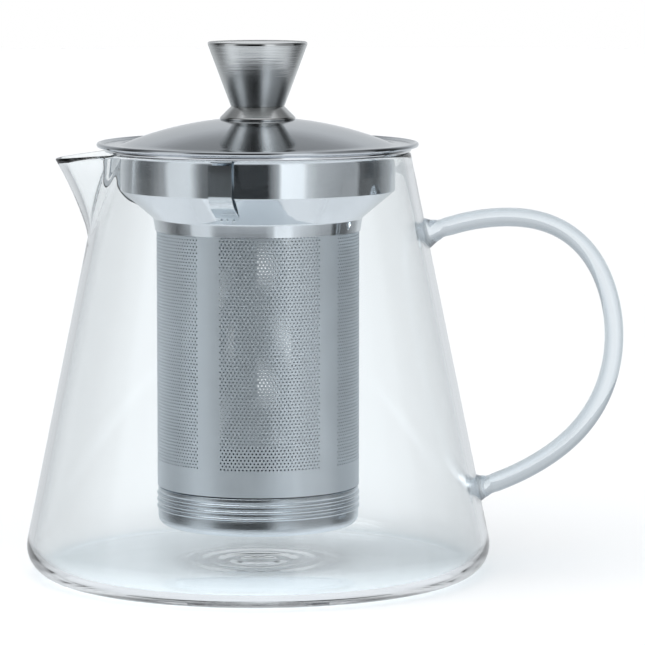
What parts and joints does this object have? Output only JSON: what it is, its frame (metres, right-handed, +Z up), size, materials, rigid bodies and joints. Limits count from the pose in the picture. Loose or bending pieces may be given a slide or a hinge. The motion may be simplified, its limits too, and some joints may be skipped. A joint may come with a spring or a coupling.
{
  "type": "infuser teapot",
  "caption": "Clear conical glass teapot with pouring spout, D-shaped glass handle, lift-out stainless infuser basket and domed lid.",
  "frame": {"origin": "centre of the base on the table plane", "axes": "+Z up along the jug's axis, +X towards the handle, -X towards the spout"},
  "size_m": [0.1682, 0.1306, 0.1492],
  "materials": {
    "glass": "clear, fire-polished",
    "polished_steel": "mirror-polished stainless steel",
    "lid_steel": "polished stainless steel with a faint spun grain",
    "knob_steel": "satin stainless steel, brushed around the axis",
    "cap_steel": "satin stainless steel",
    "screen_steel": "etched perforated stainless sheet",
    "spring_steel": "bright spring steel"
  },
  "bodies": {
    "jug": {"jug_body": "glass", "jug_handle": "glass"},
    "infuser": {"infuser_collar": "polished_steel", "infuser_screen": "screen_steel", "thread_ring": "cap_steel"},
    "clip_front": {"spring_clip_front": "spring_steel"},
    "clip_spout": {"spring_clip_spout": "spring_steel"},
    "clip_rear": {"spring_clip_rear": "spring_steel"},
    "strainer": {"base_strainer_disc": "screen_steel"},
    "cap": {"base_cap": "cap_steel"},
    "lid": {"lid_dome": "lid_steel", "lid_skirt": "polished_steel", "knob_foot": "knob_steel", "knob_cone": "knob_steel", "knob_top_disc": "knob_steel", "knob_bush": "cap_steel", "knob_screw": "cap_steel", "knob_washer": "cap_steel"}
  },
  "joints": [
    {"name": "infuser_lift", "type": "slide", "parent": "jug", "child": "infuser", "axis": [0, 0, 1], "range_m": [0, 0.12]},
    {"name": "lid_lift", "type": "slide", "parent": "infuser", "child": "lid", "axis": [0, 0, 1], "range_m": [0, 0.06]},
    {"name": "clip_front_press", "type": "hinge", "parent": "infuser", "child": "clip_front", "pos_m": [-0.00752, -0.0311, 0.1019], "axis": [-0.972, 0.2351, 0], "range_deg": [0, 3], "stiffness_Nm_per_rad": 0.02, "springref_deg": -4.58},
    {"name": "clip_spout_press", "type": "hinge", "parent": "infuser", "child": "clip_spout", "pos_m": [-0.0311, 0.00752, 0.1019], "axis": [0.2351, 0.972, 0], "range_deg": [0, 4.5], "stiffness_Nm_per_rad": 0.02, "springref_deg": -4.58},
    {"name": "clip_rear_press", "type": "hinge", "parent": "infuser", "child": "clip_rear", "pos_m": [0.02731, 0.01667, 0.1019], "axis": [0.521, -0.8536, 0], "range_deg": [0, 3], "stiffness_Nm_per_rad": 0.02, "springref_deg": -4.58},
    {"name": "strainer_drop", "type": "slide", "parent": "infuser", "child": "strainer", "axis": [0, 0, 1], "range_m": [-0.0047, 0]},
    {"name": "base_cap_spin", "type": "hinge", "parent": "strainer", "child": "cap", "pos_m": [0, 0, 0.014], "axis": [0, 0, 1], "range_deg": [-900, 0]}
  ],
  "couplings": [
    {"joint": "strainer_drop", "follows": "base_cap_spin", "m_per_rad": 0.00029444}
  ]
}
